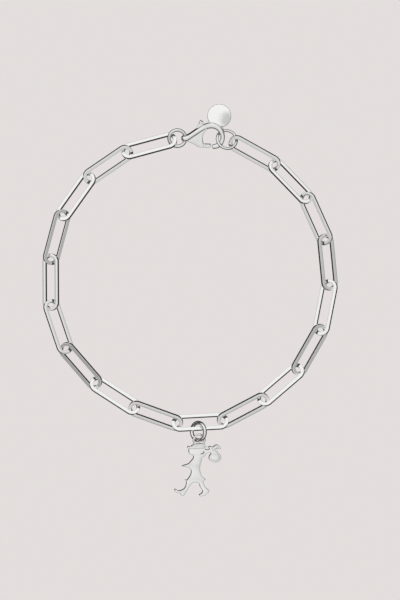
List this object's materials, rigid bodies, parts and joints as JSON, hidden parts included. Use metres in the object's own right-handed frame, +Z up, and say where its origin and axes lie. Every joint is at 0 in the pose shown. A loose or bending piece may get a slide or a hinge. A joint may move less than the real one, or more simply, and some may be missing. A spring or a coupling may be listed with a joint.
{
  "type": "charm bracelet",
  "caption": "Chain bracelet of long oval square-wire links lying in a closed loop, with a lobster clasp, a small round tag and a flat walking-figure charm on a jump ring.",
  "frame": {"origin": "middle of the closed bracelet's bounding box, on the surface that it lies on", "axes": "+Z up out of the surface; seen from above, +Y from the charm toward the clasp, +X to the right"},
  "size_m": [0.0618, 0.0822, 0.0032],
  "materials": {
    "links": "polished silver",
    "rings": "polished silver",
    "clasp": "polished cast silver",
    "lever": "polished cast silver",
    "tag": "polished silver, blank face",
    "charm": "cast silver, softly polished"
  },
  "bodies": {
    "bracelet": {"link_01": "links", "link_02": "links", "link_03": "links", "link_04": "links", "link_05": "links", "link_06": "links", "link_07": "links", "link_08": "links", "link_09": "links", "link_10": "links", "link_11": "links", "link_12": "links", "link_13": "links", "link_14": "links", "link_15": "links", "link_16": "links", "link_17": "links", "link_18": "links", "clasp_ring": "rings", "end_ring": "rings", "charm_ring": "rings", "clasp_body": "clasp", "clasp_pin": "clasp", "tag": "tag", "charm": "charm"},
    "lever": {"clasp_lever": "lever"}
  },
  "joints": [
    {"name": "clasp_lever_hinge", "type": "hinge", "parent": "bracelet", "child": "lever", "pos_m": [0.00174, 0.03385, 0.00124], "axis": [-0.0519, -0.284, 0.9574], "range_deg": [0, 24], "stiffness_Nm_per_rad": 0.002, "springref_deg": -28.65}
  ]
}
